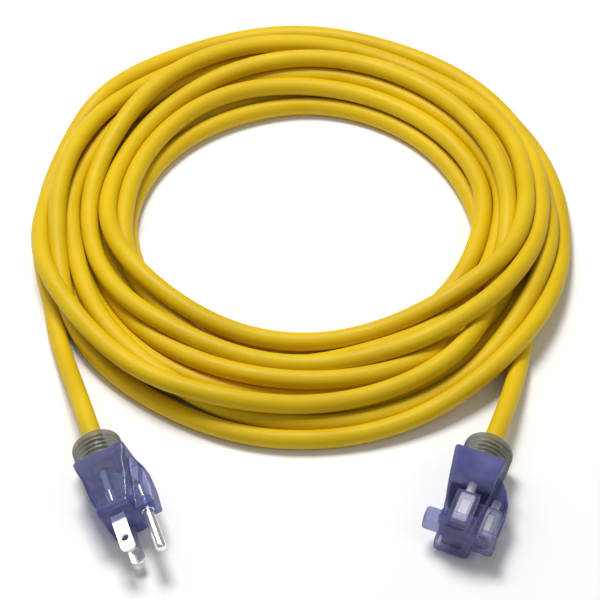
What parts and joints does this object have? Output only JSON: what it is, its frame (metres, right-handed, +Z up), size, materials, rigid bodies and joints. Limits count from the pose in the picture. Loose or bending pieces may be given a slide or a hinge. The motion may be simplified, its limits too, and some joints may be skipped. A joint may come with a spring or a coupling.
{
  "type": "extension cord",
  "caption": "Grounded yellow extension cord in a loose round coil, with a clear violet moulded plug and a locking connector that has a side release button.",
  "frame": {"origin": "on the floor, under the middle of the box around the plug and the connector, the coil lying behind them", "axes": "+Z up; +X to the right, from the plug to the connector; -Y to the front, where both ends point"},
  "size_m": [0.2516, 0.3226, 0.0296],
  "materials": {
    "cord_yellow": "satin extruded vinyl jacket",
    "violet_clear": "clear tinted moulded vinyl",
    "grey_clear": "clear smoke moulded vinyl",
    "frosted_core": "frosted moulded insert",
    "nickel": "nickel-plated brass, brushed",
    "contact_alloy": "tin-plated spring alloy",
    "spring_steel": "spring steel",
    "copper": "bare stranded copper",
    "insulation_black": "vinyl insulation",
    "insulation_white": "vinyl insulation",
    "insulation_green": "vinyl insulation",
    "button_violet": "translucent moulded button"
  },
  "bodies": {
    "cord_and_ends": {"line_blade": "nickel", "neutral_blade": "nickel", "ground_pin": "nickel", "plug_strands": "copper", "plug_core": "frosted_core", "plug_jacket": "cord_yellow", "plug_line_wire": "insulation_black", "plug_neutral_wire": "insulation_white", "plug_ground_wire": "insulation_green", "plug_body": "violet_clear", "plug_collar": "grey_clear", "line_contact": "contact_alloy", "neutral_contact": "contact_alloy", "ground_contact": "contact_alloy", "connector_strands": "copper", "connector_core": "frosted_core", "connector_jacket": "cord_yellow", "connector_line_wire": "insulation_black", "connector_neutral_wire": "insulation_white", "connector_ground_wire": "insulation_green", "connector_body": "violet_clear", "connector_collar": "grey_clear", "latch_pins": "spring_steel", "latch_spring": "spring_steel", "cord_coil": "cord_yellow", "plug_tail": "cord_yellow", "connector_tail": "cord_yellow"},
    "release_button": {"release_button": "button_violet"},
    "upper_latch_lever": {"upper_latch": "spring_steel"},
    "lower_latch_lever": {"lower_latch": "spring_steel"}
  },
  "joints": [
    {"name": "button_slide", "type": "slide", "parent": "cord_and_ends", "child": "release_button", "axis": [0.9367, -0.3403, -0.0819], "range_m": [0, 0.003], "stiffness_N_per_m": 600, "springref_m": -0.0003, "deforming": ["latch_spring"]},
    {"name": "upper_latch_hinge", "type": "hinge", "parent": "cord_and_ends", "child": "upper_latch_lever", "pos_m": [0.07438, -0.0041, 0.01625], "axis": [0.9367, -0.3403, -0.0819], "range_deg": [0, 9.5]},
    {"name": "lower_latch_hinge", "type": "hinge", "parent": "cord_and_ends", "child": "lower_latch_lever", "pos_m": [0.07384, -0.00413, 0.01027], "axis": [-0.9367, 0.3403, 0.0819], "range_deg": [0, 9.5]}
  ],
  "couplings": [
    {"joint": "upper_latch_hinge", "follows": "button_slide", "rad_per_m": 55.26},
    {"joint": "lower_latch_hinge", "follows": "button_slide", "rad_per_m": 55.26}
  ]
}
